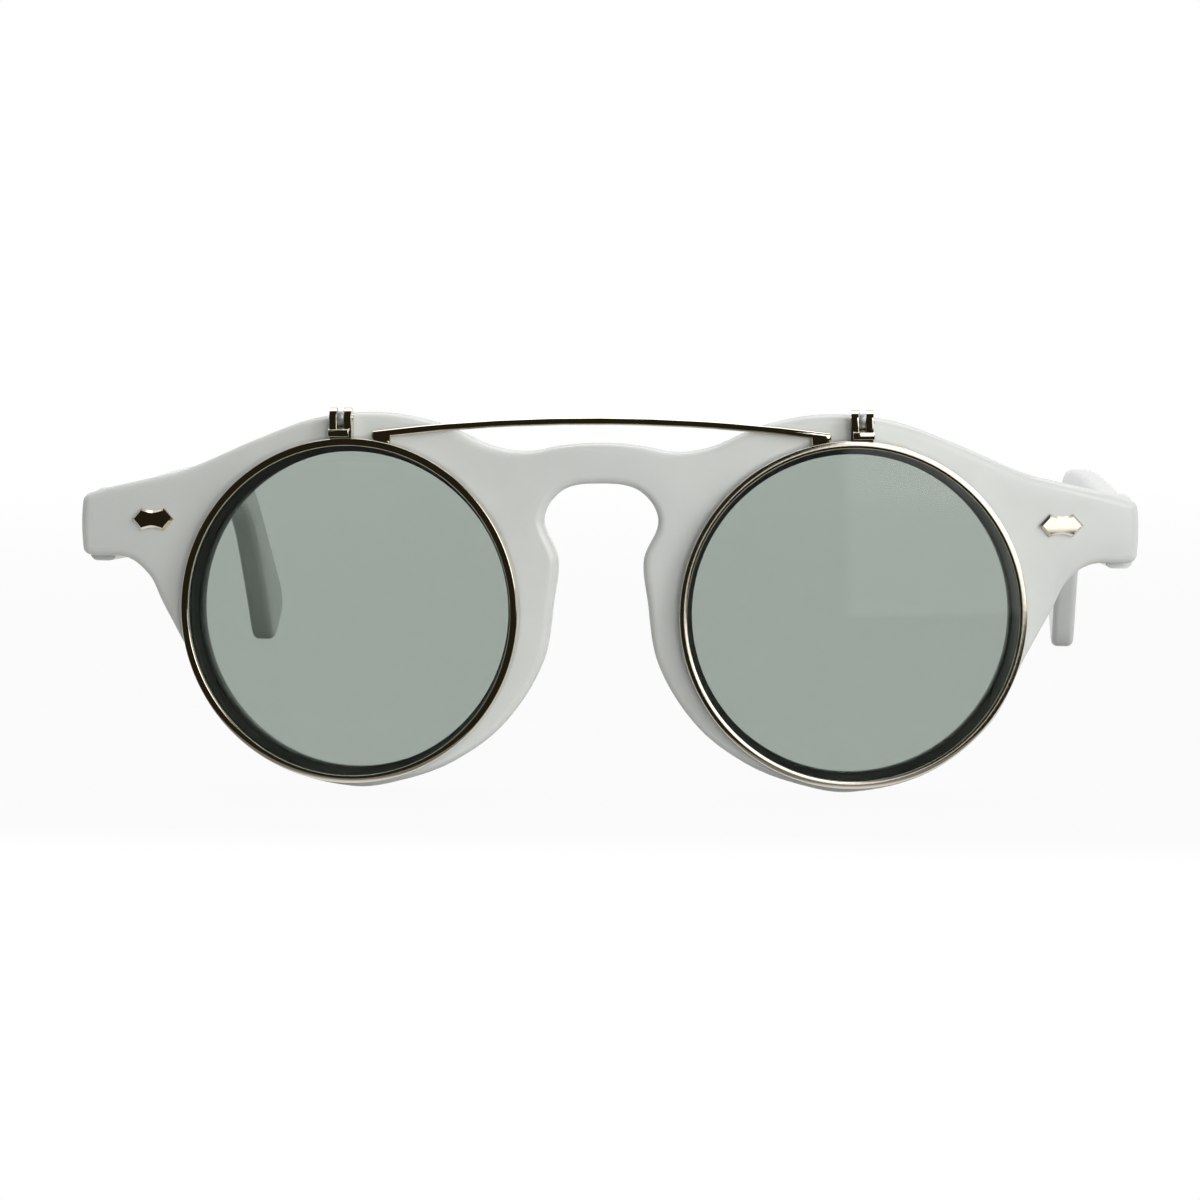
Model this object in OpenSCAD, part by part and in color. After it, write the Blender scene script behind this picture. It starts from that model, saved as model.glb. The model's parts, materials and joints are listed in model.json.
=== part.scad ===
// Flip up sunglasses: a pearl plastic front with folding temples, and round tinted lenses that flip up.
// Left and right are as seen from the front. The front faces -Y, the temples run to +Y and +Z is up.
// The origin is below the middle of the whole part, on the surface that it stands on, temples open.

/* [Front] */
// Radius of the front's wrap, on its outer face
wrap_r = 320; // [250:5:400]
// Thickness of the moulded front
front_t = 4.0; // [3:0.1:5]
// Distance from the middle of the front to each lens axis
lens_x = 33.7; // [31:0.1:36]
// How far the plastic's openings lie inside the metal rims' inner edges
opening_inset = 0.85; // [0.3:0.05:1.5]
// Depth of the lens groove in the plastic
groove_d = 0.8; // [0.4:0.1:1.2]
// Width of the lens grooves at their mouths
groove_w = 1.0; // [0.6:0.1:1.4]
// Thickness of the clear inner lenses
inner_lens_t = 2.0; // [1.5:0.1:2.5]
// Radius of the clear lenses' surface
inner_lens_curve = 200; // [120:5:300]
// Height of the keyhole's top above the lens axes
keyhole_top = 17.3; // [15:0.1:19]
// Half width of the keyhole's round head
keyhole_half = 7.7; // [6:0.1:9]
// Half width of the keyhole's throat
throat_half = 5.8; // [4.5:0.1:7]
// How far the brow's highest stretch rises above the metal rims
brow_rise = 3.45; // [3:0.05:4.5]
// Half width over the end pieces
front_half = 72.0; // [68:0.5:76]
// Height of the end piece's top corner
end_top = 15.0; // [13:0.1:17]
// Height of the end piece's bottom corner
end_bottom = 6.8; // [5:0.1:9]
// Width of the plastic below the openings
lower_rim_w = 2.7; // [2:0.1:4]

/* [Plaques] */
// Distance from the front's end to the plaque's centre
plaque_inset = 10.4; // [8:0.1:13]
// Height of the plaque's centre
plaque_z = 11.9; // [9:0.1:14]
// Length of the bow tie, tip to tip
plaque_l = 5.6; // [4:0.1:8]
// Height of the bow tie at its corners
plaque_h = 2.82; // [2:0.02:4]
// Height of the bow tie at its waist
plaque_waist = 2.1; // [1.4:0.1:3]
// Distance between the bow tie's corners along its length
plaque_corner = 2.94; // [2:0.02:4]
// Thickness of the plaque above the plastic
plaque_t = 0.8; // [0.4:0.1:1.2]
// Depth that the plaque is let in
plaque_seat = 0.1; // [0.05:0.05:0.5]
// Diameter of the two rivet studs
stud_d = 0.9; // [0.7:0.1:1.2]
// Distance between the rivet studs
stud_gap = 3.0; // [2:0.1:4]

/* [Temples] */
// Thickness of the temples
temple_t = 3.8; // [3:0.1:5]
// How far the end pieces stand out past the temples
end_overhang = 0.3; // [0:0.1:1]
// Length from the hinge axis to the tip
temple_l = 146.5; // [135:0.5:150]
// Height of a temple at its widest
temple_wide = 12.95; // [9:0.05:15]
// Gap between the front's back and the temple's butt
butt_gap = 0.2; // [0.1:0.05:0.5]
// Folding angle of the left temple, which lies behind the right one
left_fold = 87.8; // [85:0.1:90]
// Folding angle of the right temple, which lies next to the front
right_fold = 92.5; // [90:0.1:94]

/* [Temple hinges] */
// Distance from a temple's inner face to its hinge axis
hinge_inset = 1.7; // [1.6:0.1:3]
// Distance from the back of the end piece to the hinge axis
hinge_behind = 2.76; // [2:0.02:5]
// Height of the hinge's middle
hinge_z = 10.9; // [8:0.1:14]
// Diameter of the barrels
barrel_d = 3.0; // [2.4:0.1:4]
// Height of one barrel
barrel_h = 2.0; // [1.5:0.1:3]
// Gap between neighbouring barrels
barrel_gap = 0.06; // [0.03:0.01:0.15]
// Diameter of the hinge screws
screw_d = 1.4; // [1:0.1:1.8]
// Diameter of the screw head
screw_head_d = 2.4; // [1.8:0.1:3]
// Height of the screw head
screw_head_h = 0.6; // [0.3:0.1:1]
// Width of the slot in the screw head
screw_slot = 0.4; // [0.2:0.1:0.6]
// Radial running clearance of the temple's barrel on its screw
screw_clear = 0.05; // [0.02:0.01:0.1]
// Thickness of the hinge plates
plate_t = 1.1; // [0.8:0.1:1.5]
// Height of the hinge plates
plate_h = 5.6; // [4:0.1:7]
// Depth that the front's hinge plates are let in
plate_seat = 0.3; // [0.1:0.1:0.8]
// Length of the front's hinge plates inside the plaque's centre
plate_inner_l = 4.3; // [3:0.1:5]
// Length of the temples' hinge plates
temple_plate_l = 8.5; // [6:0.1:12]
// Depth that the temples' hinge plates are let in
temple_plate_seat = 0.5; // [0.2:0.1:1]

/* [Flip up unit] */
// Outer radius of the metal rims
rim_r = 23.25; // [22:0.05:25]
// Width of the rims seen from the front
rim_w = 1.0; // [0.7:0.05:1.5]
// Depth of the rims from front to back
rim_d = 2.4; // [1.6:0.1:3]
// Bevel on the rims' outer corners
rim_bevel = 0.35; // [0.1:0.05:0.6]
// Bevel on the rims' inner corners
rim_inner_bevel = 0.2; // [0.1:0.05:0.3]
// Depth of the groove in the rims
rim_groove = 0.45; // [0.2:0.05:0.6]
// Gap between the rims and the plastic front
rim_gap = 0.3; // [0.15:0.05:0.8]
// Thickness of the tinted lenses
tint_t = 1.8; // [1.2:0.1:2.2]
// Radius of the tinted lenses' surface
tint_curve = 260; // [150:5:400]
// Distance from a lens axis to the bar's end
bar_inset = 2.9; // [1:0.1:6]
// How far the bar's underside lies below the top of the brow, at the middle
bar_drop = 1.5; // [0.5:0.1:2]
// Radius of the bar's arch
bar_arch = 240; // [150:5:400]
// Thickness of the bar, up and down
bar_t = 1.0; // [0.7:0.1:1.5]
// Depth of the bar, front to back
bar_d = 1.15; // [0.8:0.05:2]
// How far the bar's middle lies in front of the flip axis
bar_forward = 0.25; // [0:0.05:0.8]
// Length of the bar's soldered feet
bar_foot_l = 2.6; // [1.5:0.1:4]
// How far each flip hinge lies outside its lens axis
flip_offset = 1.2; // [-2:0.1:4]
// Distance of the flip axis behind the front's face at the middle
flip_y = 0.05; // [-0.5:0.05:0.5]
// How far the flip axis lies below the top of the brow
flip_drop = 0.7; // [0:0.1:1.5]
// Diameter of the flip hinges' ears and knuckles
ear_d = 2.7; // [2:0.1:3.5]
// Thickness of one ear
ear_t = 1.0; // [0.7:0.05:1.4]
// Width of the middle knuckle
knuckle_w = 0.88; // [0.6:0.02:1.2]
// Height of the web between the knuckle and the plastic
web_h = 1.5; // [1:0.1:2]
// Width of the knuckle's foot, which is moulded in
foot_w = 3.0; // [2:0.1:4]
// Height of the knuckle's foot
foot_h = 2.25; // [1.5:0.05:3]
// Thickness of the knuckle's foot
foot_t = 1.2; // [0.8:0.1:2]
// How far the fork's base lies below its ears
fork_drop = 0.12; // [0:0.02:0.4]
// Gap between the knuckle and each ear
knuckle_gap = 0.05; // [0.03:0.01:0.1]
// Diameter of the flip hinges' pins
pin_d = 1.0; // [0.7:0.1:1.3]
// How far the pins' ends stand out
pin_proud = 0.12; // [0.05:0.01:0.3]
// Radial running clearance of the knuckle on its pin
pin_clear = 0.05; // [0.02:0.01:0.1]
// Turn of the flip up unit, from down to up
flip_angle = 90; // [60:5:95]

/* [Pose] */
// Share of the left temple's fold that is shown
fold_left = 0; // [0:0.05:1]
// Share of the right temple's fold that is shown
fold_right = 0; // [0:0.05:1]
// Share of the flip up unit's turn that is shown
flip_up = 0; // [0:0.05:1]

/* [Hidden] */
$fn = 96;

pearl = [0.90, 0.91, 0.90];
clear = [0.93, 0.95, 0.94, 0.35];
smoke = [0.36, 0.40, 0.36, 0.75];
chrome = [0.78, 0.78, 0.77];
steel = [0.62, 0.62, 0.61];

// Past any face that a cut goes through
over = 1;
lens_turn = asin(lens_x / wrap_r);
plaque_x = front_half - plaque_inset;
plaque_turn = asin(plaque_x / wrap_r);
back_r = wrap_r - front_t;
temple_outer = front_half - end_overhang;
temple_inner = temple_outer - temple_t;
hinge_x = temple_inner - hinge_inset;
hinge_y = back_y(temple_outer) + hinge_behind;
rim_in = rim_r - rim_w;
opening_r = rim_in - opening_inset;
brow_h = rim_r + brow_rise;
bar_half = lens_x - bar_inset;
flip_x = lens_x + flip_offset;
flip_z = brow_h - flip_drop;
bar_z = brow_h - bar_drop;
rim_back = -rim_gap;
rim_mid = rim_back - rim_d / 2;
hinge_low = hinge_z - 1.5 * barrel_h - barrel_gap;
// The groove lies a little behind the middle of the plastic, whose face falls away on both sides
groove_depth = 0.55 * front_t;
// Where the rivets of the temples' hinge plates sit, as shares of the plate's length
rivet_shares = [0.4, 0.75];
// The middle of the whole part lies this far in front of the middle of its plastic
rest_forward = 2.4;

// How far the face of the wrap, and its back, lie behind the middle of the face
function face_y(x) = wrap_r - sqrt(wrap_r * wrap_r - x * x);
function back_y(x) = wrap_r - sqrt(back_r * back_r - x * x);

// The outlines are smooth curves through key points [x, z, corner]; a corner is a break in the curve
function unit(v) = norm(v) == 0 ? [0, 0] : v / norm(v);
function place(p) = [p[0], p[1]];
function heading(before, p, after) = p[2] == 1 ? [0, 0] : unit(place(after) - place(before));
function bezier(a, b, c, d, t) =
    a * pow(1 - t, 3) + 3 * b * t * pow(1 - t, 2) + 3 * c * t * t * (1 - t) + d * pow(t, 3);
function curve_points(keys, steps) = [
    for (i = [0 : len(keys) - 1])
        let (n = len(keys), a = keys[(i + n - 1) % n], b = keys[i], c = keys[(i + 1) % n],
            d = keys[(i + 2) % n], reach = norm(place(c) - place(b)) / 3)
            for (k = [0 : steps - 1])
                bezier(place(b), place(b) + reach * heading(a, b, c),
                    place(c) - reach * heading(b, c, d), place(c), k / steps)
];
function mirrored(keys) = [for (i = [len(keys) - 1 : -1 : 0]) [-keys[i][0], keys[i][1], keys[i][2]]];

// A point at a distance from the lens axis, at an angle from straight outward, for the lower eyewire
function eyewire(r, a) = [lens_x + r * cos(a), r * sin(a), 0];
lower_r = opening_r + lower_rim_w;

// The right half of the front's outline: brow, end piece, eyewire and keyhole
front_keys = [
    [5.3, brow_h - 4.3, 0],
    [10.0, brow_h - 5.1, 0],
    [lens_x - 19, brow_h - 4.4, 0],
    [lens_x - 12.2, brow_h - 1.5, 0],
    [lens_x - 3.9, brow_h, 0],
    [lens_x + 5, brow_h - 0.8, 0],
    [lens_x + 13.2, brow_h - 3.7, 0],
    [front_half - 15.4, end_top + 3.9, 0],
    [front_half - 10.4, end_top + 2.6, 0],
    [front_half - 1, end_top + 0.3, 0],
    [front_half, end_top - 0.8, 0],
    [front_half, end_bottom + 0.9, 0],
    [front_half - 0.9, end_bottom, 0],
    [front_half - 6.4, end_bottom - 0.3, 0],
    [front_half - 9.6, end_bottom - 2.7, 0],
    [front_half - 11.4, end_bottom - 6.2, 0],
    eyewire(lower_r, -14),
    eyewire(lower_r - 0.2, -38),
    eyewire(lower_r - 0.2, -64),
    eyewire(lower_r, -90),
    eyewire(lower_r, -108),
    eyewire(lower_r + 0.6, -125),
    eyewire(lower_r + 1.6, -144),
    eyewire(lower_r + 2.7, -165),
    [throat_half + 0.5, 1.7, 0],
    [throat_half, 7.2, 0],
    [keyhole_half, keyhole_top - 4.8, 0],
    [keyhole_half - 2.6, keyhole_top - 0.9, 0]
];
front_outline = concat([[0, brow_h - 3.9, 0]], front_keys, [[0, keyhole_top, 0]], mirrored(front_keys));

// The temple's side, from the hinge: [hundredths of its length, hundredths of its greatest height, corner]
temple_shape_keys = [
    [-3.4, 27, 0],
    [10.3, 31, 0],
    [30.3, 39, 0],
    [49.7, 42, 0],
    [63.4, 39, 0],
    [71, 32, 0],
    [79.2, 3, 0],
    [89.2, -68, 0],
    [97.2, -127, 0],
    [99.4, -149, 0],
    [99.7, -171, 0],
    [96.8, -195, 1],
    [94.2, -209, 0],
    [92.1, -205, 0],
    [87.7, -151, 0],
    [81, -73, 0],
    [75.6, -32, 0],
    [70.6, -18, 0],
    [62.8, -27, 0],
    [51, -53, 0],
    [41.4, -60, 0],
    [30.3, -54, 0],
    [10.3, -43, 0],
    [-3.4, -39, 1]
];
temple_keys = [for (k = temple_shape_keys) [k[0] * temple_l / 100, hinge_z + k[1] * temple_wide / 100, k[2]]];

// The part leans on its eyewires and on the heels of its temple tips, with the temples open
heel = temple_keys[12];
rest_tilt = atan2(lower_r + heel[1], heel[0] + hinge_y - front_t - face_y(lens_x));
rest_back = (hinge_y + temple_l) / 2;
rest_shift = [0, -rest_back + rest_forward,
    lower_r * cos(rest_tilt) + (front_t + face_y(lens_x)) * sin(rest_tilt)];

module stand() {
    translate(rest_shift) rotate([-rest_tilt, 0, 0]) children();
}

// Mirrors to the left side
module on_side(side) {
    mirror([side < 0 ? 1 : 0, 0, 0]) children();
}

// Puts a shape drawn along Z on the lens axis: z = 0 at the face of the wrap, +Z towards the eye
module lens_place(depth) {
    translate([lens_x, face_y(lens_x), 0]) rotate([-90, 0, lens_turn]) translate([0, 0, depth]) children();
}

// Puts a shape on the plaque's seat: X outwards along the face, +Y into the plastic
module plaque_place() {
    translate([plaque_x, face_y(plaque_x), plaque_z]) rotate([0, 0, plaque_turn]) children();
}

// Turns with the flip hinges
module flip_turn() {
    translate([0, flip_y, flip_z]) rotate([-flip_angle * flip_up, 0, 0])
        translate([0, -flip_y, -flip_z]) children();
}

// Turns with the right temple's hinge, or its mirror image
module temple_turn(side) {
    turn = side > 0 ? right_fold * fold_right : left_fold * fold_left;
    translate([hinge_x, hinge_y, 0]) rotate([0, 0, turn]) translate([-hinge_x, -hinge_y, 0]) children();
}

// The band between the two faces of the wrap, or between any two radii about the same axis
module wrap_band(outer, inner) {
    translate([0, wrap_r, 0]) difference() {
        cylinder(r = outer, h = 3 * brow_h, center = true, $fn = 200);
        cylinder(r = inner, h = 3 * brow_h + over, center = true, $fn = 200);
    }
}

// A lens: a spherical shell, cut round, with a pointed bevel round its edge
module lens_blank(radius, bevel, thick, curve) {
    centre = sqrt(curve * curve - radius * radius);
    half = groove_w / 2;
    deep = 3 * thick;
    intersection() {
        translate([0, 0, centre]) difference() {
            sphere(r = curve + thick / 2, $fn = 200);
            sphere(r = curve - thick / 2, $fn = 200);
        }
        rotate_extrude($fn = 120) polygon([[0, -deep], [radius, -deep], [radius, -half],
            [radius + bevel, 0], [radius, half], [radius, deep], [0, deep]]);
    }
}

module inner_lens_shape(side) {
    on_side(side) lens_place(groove_depth)
        lens_blank(opening_r, groove_d, inner_lens_t, inner_lens_curve);
}

module plaque_outline() {
    waist_drop = (plaque_h - plaque_waist) / 2;
    half = plaque_corner / 2;
    hollow_r = (half * half + waist_drop * waist_drop) / (2 * waist_drop);
    difference() {
        polygon([[-plaque_l / 2, 0], [-half, plaque_h / 2], [half, plaque_h / 2], [plaque_l / 2, 0],
            [half, -plaque_h / 2], [-half, -plaque_h / 2]]);
        for (s = [-1, 1]) translate([0, s * (plaque_waist / 2 + hollow_r)]) circle(r = hollow_r, $fn = 72);
    }
}

// The rivet studs under a plaque, to a depth below the face
module studs(depth) {
    for (s = [-1, 1]) translate([s * stud_gap / 2, 0, 0])
        rotate([-90, 0, 0]) cylinder(d = stud_d, h = depth, $fn = 32);
}

module plaque_shape(side) {
    on_side(side) plaque_place() {
        rotate([90, 0, 0]) translate([0, 0, -plaque_seat])
            linear_extrude(plaque_t + plaque_seat) plaque_outline();
        studs(front_t + plate_t - plate_seat);
    }
}

// A barrel of the temple hinge with the tongue that carries it, from y_from to y_to
module barrel(bottom, height, tongue_x, y_from, y_to) {
    translate([hinge_x, hinge_y, bottom]) cylinder(d = barrel_d, h = height, $fn = 48);
    translate([hinge_x + tongue_x, y_from, bottom])
        cube([barrel_d / 2 - tongue_x, y_to - y_from, height]);
}

module front_leaf_body() {
    plaque_place() translate([-plate_inner_l, front_t - plate_seat, hinge_z - plaque_z - plate_h / 2])
        cube([plate_inner_l + hinge_x + barrel_d / 2 - plaque_x, plate_t, plate_h]);
    for (step = [0, 2])
        barrel(hinge_low + step * (barrel_h + barrel_gap), barrel_h, -barrel_d / 2,
            back_y(hinge_x - barrel_d / 2), hinge_y);
}

module front_leaf_shape(side) {
    on_side(side) difference() {
        front_leaf_body();
        translate([hinge_x, hinge_y, hinge_low - over])
            cylinder(d = screw_d, h = 3 * barrel_h + 2 * over + 1, $fn = 48);
        plaque_place() studs(2 * front_t);
    }
}

module hinge_screw_shape(side) {
    length = 3 * barrel_h + 2 * barrel_gap;
    on_side(side) translate([hinge_x, hinge_y, hinge_low]) difference() {
        union() {
            cylinder(d = screw_d, h = length, $fn = 48);
            translate([0, 0, length]) cylinder(d = screw_head_d, h = screw_head_h, $fn = 48);
        }
        translate([-screw_head_d, -screw_slot / 2, length + screw_head_h / 2])
            cube([2 * screw_head_d, screw_slot, over]);
    }
}

// The middle knuckle of a flip hinge, its web, and the foot that the plastic is moulded round
module flip_leaf_body() {
    web_back = face_y(flip_x) + 0.75 * front_t;
    web_low = flip_z - ear_d / 2 + web_h / 6;
    translate([flip_x - knuckle_w / 2, 0, 0]) {
        translate([0, flip_y, flip_z]) rotate([0, 90, 0]) cylinder(d = ear_d, h = knuckle_w, $fn = 48);
        translate([0, flip_y, web_low]) cube([knuckle_w, web_back - flip_y, web_h]);
    }
    translate([flip_x - foot_w / 2, web_back - foot_t, web_low + web_h - foot_h])
        cube([foot_w, foot_t, foot_h]);
}

module flip_leaf_shape(side) {
    on_side(side) difference() {
        flip_leaf_body();
        translate([flip_x, flip_y, flip_z]) rotate([0, 90, 0])
            cylinder(d = pin_d + 2 * pin_clear, h = knuckle_w + 2 * over, center = true, $fn = 48);
    }
}

module front_shape() {
    difference() {
        intersection() {
            translate([0, hinge_y, 0]) rotate([90, 0, 0]) linear_extrude(2 * hinge_y)
                polygon(curve_points(front_outline, 4));
            wrap_band(wrap_r, back_r);
        }
        for (side = [-1, 1]) on_side(side) {
            lens_place(-2 * front_t) cylinder(r = opening_r, h = 5 * front_t, $fn = 120);
            lens_place(groove_depth) rotate_extrude($fn = 120)
                polygon([[opening_r - over, -groove_w / 2], [opening_r, -groove_w / 2],
                    [opening_r + groove_d, 0], [opening_r, groove_w / 2],
                    [opening_r - over, groove_w / 2]]);
            plaque_place() rotate([90, 0, 0]) translate([0, 0, -plaque_seat])
                linear_extrude(over) plaque_outline();
            plaque_place() studs(2 * front_t);
            front_leaf_body();
            flip_leaf_body();
        }
    }
}

module temple_leaf_body() {
    plate_y = hinge_y + barrel_d / 2 + 0.2;
    translate([temple_inner + temple_plate_seat - plate_t, plate_y, hinge_z - plate_h / 2])
        cube([plate_t, temple_plate_l, plate_h]);
    barrel(hinge_low + barrel_h + 2 * barrel_gap, barrel_h - 2 * barrel_gap,
        0.15 * barrel_d / 2, hinge_y, plate_y + 1.5 * plate_t);
    for (share = rivet_shares) translate([temple_inner, plate_y + share * temple_plate_l, hinge_z])
        rotate([0, 90, 0]) cylinder(d = stud_d, h = temple_t / 2, $fn = 32);
}

module temple_leaf_shape(side) {
    on_side(side) temple_turn(side) difference() {
        temple_leaf_body();
        translate([hinge_x, hinge_y, hinge_low])
            cylinder(d = screw_d + 2 * screw_clear, h = 3 * barrel_h, $fn = 48);
    }
}

module temple_shape(side) {
    on_side(side) temple_turn(side) difference() {
        translate([temple_inner, hinge_y, 0]) rotate([90, 0, 90])
            linear_extrude(temple_t) polygon(curve_points(temple_keys, 4));
        wrap_band(wrap_r + 10, back_r - butt_gap);
        temple_leaf_body();
    }
}

module rim_shape(side) {
    edge = rim_bevel;
    inner = rim_inner_bevel;
    half = rim_d / 2;
    on_side(side) flip_turn() lens_place(rim_mid) rotate_extrude($fn = 144)
        polygon([[rim_in, inner - half], [rim_in + inner, -half], [rim_r - edge, -half],
            [rim_r, edge - half], [rim_r, half - edge], [rim_r - edge, half],
            [rim_in + inner, half], [rim_in, half - inner], [rim_in, groove_w / 2],
            [rim_in + rim_groove, 0], [rim_in, -groove_w / 2]]);
}

module tinted_lens_shape(side) {
    on_side(side) flip_turn() lens_place(rim_mid)
        lens_blank(rim_in, rim_groove, tint_t, tint_curve);
}

// The space inside a rim's outer face, for what is soldered on it
module rim_space(side) {
    on_side(side) lens_place(rim_mid) cylinder(r = rim_r, h = 4 * rim_d, center = true, $fn = 144);
}

// The bar is an arch with a soldered foot at each end, cut to sit on the rims
module bar_shape() {
    low = bar_z - bar_arch;
    end_low = low + sqrt(bar_arch * bar_arch - bar_half * bar_half);
    foot_low = sqrt(rim_r * rim_r - pow(lens_x - bar_half + bar_foot_l, 2));
    flip_turn() difference() {
        union() {
            intersection() {
                translate([0, flip_y - bar_forward, low]) rotate([90, 0, 0]) difference() {
                    cylinder(r = bar_arch + bar_t, h = bar_d, center = true, $fn = 200);
                    cylinder(r = bar_arch, h = bar_d + over, center = true, $fn = 200);
                }
                translate([-bar_half, -rim_r / 2, rim_r / 2]) cube([2 * bar_half, rim_r, rim_r]);
            }
            for (side = [-1, 1]) on_side(side)
                translate([bar_half - bar_foot_l, flip_y - bar_forward - bar_d / 2, foot_low - bar_t / 2])
                    cube([bar_foot_l, bar_d, end_low + bar_t - foot_low]);
        }
        for (side = [-1, 1]) rim_space(side);
    }
}

module fork_shape(side) {
    half = ear_t + knuckle_gap + knuckle_w / 2;
    base_top = flip_z - ear_d / 2 - fork_drop;
    base_low = rim_r - 0.9 * rim_w;
    on_side(side) flip_turn() difference() {
        union() {
            for (s = [-1, 1]) translate([flip_x + s * (half - ear_t / 2), flip_y, flip_z]) {
                rotate([0, 90, 0]) cylinder(d = ear_d, h = ear_t, center = true, $fn = 48);
                translate([-ear_t / 2, -ear_d / 2, base_top - flip_z - 0.1])
                    cube([ear_t, ear_d, flip_z - base_top + 0.1]);
            }
            translate([flip_x - half, flip_y - ear_d / 2, base_low])
                cube([2 * half, ear_d, base_top - base_low]);
        }
        rim_space(1);
        translate([flip_x, flip_y, flip_z]) rotate([0, 90, 0])
            cylinder(d = pin_d, h = 2 * half + over, center = true, $fn = 48);
    }
}

module pin_shape(side) {
    half = ear_t + knuckle_gap + knuckle_w / 2 + pin_proud;
    on_side(side) flip_turn() translate([flip_x - half, flip_y, flip_z])
        rotate([0, 90, 0]) cylinder(d = pin_d, h = 2 * half, $fn = 48);
}

module front_frame() color(pearl) stand() front_shape();

module inner_lens_left() color(clear) stand() inner_lens_shape(-1);

module inner_lens_right() color(clear) stand() inner_lens_shape(1);

module end_plaque_left() color(chrome) stand() plaque_shape(-1);

module end_plaque_right() color(chrome) stand() plaque_shape(1);

module front_hinge_leaf_left() color(steel) stand() front_leaf_shape(-1);

module front_hinge_leaf_right() color(steel) stand() front_leaf_shape(1);

module temple_hinge_screw_left() color(steel) stand() hinge_screw_shape(-1);

module temple_hinge_screw_right() color(steel) stand() hinge_screw_shape(1);

module flip_hinge_leaf_left() color(chrome) stand() flip_leaf_shape(-1);

module flip_hinge_leaf_right() color(chrome) stand() flip_leaf_shape(1);

module temple_left() color(pearl) stand() temple_shape(-1);

module temple_right() color(pearl) stand() temple_shape(1);

module temple_hinge_leaf_left() color(steel) stand() temple_leaf_shape(-1);

module temple_hinge_leaf_right() color(steel) stand() temple_leaf_shape(1);

module flip_rim_left() color(chrome) stand() rim_shape(-1);

module flip_rim_right() color(chrome) stand() rim_shape(1);

module flip_lens_left() color(smoke) stand() tinted_lens_shape(-1);

module flip_lens_right() color(smoke) stand() tinted_lens_shape(1);

module flip_bridge_bar() color(chrome) stand() bar_shape();

module flip_hinge_fork_left() color(chrome) stand() fork_shape(-1);

module flip_hinge_fork_right() color(chrome) stand() fork_shape(1);

module flip_hinge_pin_left() color(steel) stand() pin_shape(-1);

module flip_hinge_pin_right() color(steel) stand() pin_shape(1);

front_frame();
inner_lens_left();
inner_lens_right();
end_plaque_left();
end_plaque_right();
front_hinge_leaf_left();
front_hinge_leaf_right();
temple_hinge_screw_left();
temple_hinge_screw_right();
flip_hinge_leaf_left();
flip_hinge_leaf_right();
temple_left();
temple_right();
temple_hinge_leaf_left();
temple_hinge_leaf_right();
flip_rim_left();
flip_rim_right();
flip_lens_left();
flip_lens_right();
flip_bridge_bar();
flip_hinge_fork_left();
flip_hinge_fork_right();
flip_hinge_pin_left();
flip_hinge_pin_right();
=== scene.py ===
import json
import math
import bpy
from mathutils import Matrix, Vector


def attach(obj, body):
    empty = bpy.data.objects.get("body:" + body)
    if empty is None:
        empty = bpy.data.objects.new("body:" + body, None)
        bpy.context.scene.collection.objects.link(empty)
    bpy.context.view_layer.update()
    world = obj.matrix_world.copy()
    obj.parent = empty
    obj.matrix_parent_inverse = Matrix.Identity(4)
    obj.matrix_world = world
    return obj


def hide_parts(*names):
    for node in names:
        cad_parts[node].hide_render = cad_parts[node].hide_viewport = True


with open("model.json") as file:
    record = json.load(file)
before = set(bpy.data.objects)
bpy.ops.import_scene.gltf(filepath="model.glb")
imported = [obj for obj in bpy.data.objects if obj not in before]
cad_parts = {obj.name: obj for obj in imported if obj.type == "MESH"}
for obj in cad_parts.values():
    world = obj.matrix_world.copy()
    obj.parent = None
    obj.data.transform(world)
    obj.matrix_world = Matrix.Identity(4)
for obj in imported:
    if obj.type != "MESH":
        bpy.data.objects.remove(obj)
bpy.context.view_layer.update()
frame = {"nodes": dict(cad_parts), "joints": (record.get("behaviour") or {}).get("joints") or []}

# Pieces are drawn in millimetres in the front's own upright frame: x to the right, y from the
# front's face back to the temples, z up from the lens axes. The glasses stand a little tilted.
joints = {joint["name"]: joint for joint in frame["joints"]}
hingeAxis = joints["temple_fold_left"]["axis"]
restTilt = math.atan2(hingeAxis[1], hingeAxis[2])
turnDown = Matrix.Rotation(-restTilt, 4, "X")
# The flip up axis, as it lies in the upright frame and in the part's frame
flipAxisLocal = Vector((0, 0.05, 26.0))
flipPlace = Vector(joints["flip_up"]["pos_m"]) * 1000
toRow = Matrix.Scale(0.001, 4) @ Matrix.Translation(flipPlace - turnDown @ flipAxisLocal) @ turnDown
hingeLocal = toRow.inverted() @ Vector(joints["temple_fold_right"]["pos_m"])

# Points closer than these are merged, in drawn curves and in turned or copied meshes
curveWeld = 0.002
meshWeld = 0.0005

front = {
    "wrapRadius": 320,
    "thickness": 4.0,
    "edgeRound": 1.15,
    "openingRadius": 21.4,
    "openingBevel": 0.15,
    "bevelReach": 0.03,
    "seatReach": 0.05,
    "cutterDepth": 30,
    "lensX": 33.7,
    "browTop": 26.7,
    "endTop": 15.0,
    "endBottom": 6.8,
    "half": 72.0,
    "lowerRadius": 24.1,
    "stripsAcross": (-70, 70, 2.5),
    "stripsUp": (-20, 25, 5),
}
lensX = front["lensX"]
browTop, endTop, endBottom = front["browTop"], front["endTop"], front["endBottom"]
frontHalf, lowerRadius = front["half"], front["lowerRadius"]


def faceY(x):
    return front["wrapRadius"] - math.sqrt(front["wrapRadius"] ** 2 - x * x)


def backY(x):
    inner = front["wrapRadius"] - front["thickness"]
    return front["wrapRadius"] - math.sqrt(inner ** 2 - x * x)


def eyewire(radius, degrees):
    angle = math.radians(degrees)
    return (lensX + radius * math.cos(angle), radius * math.sin(angle), 0)


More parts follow.
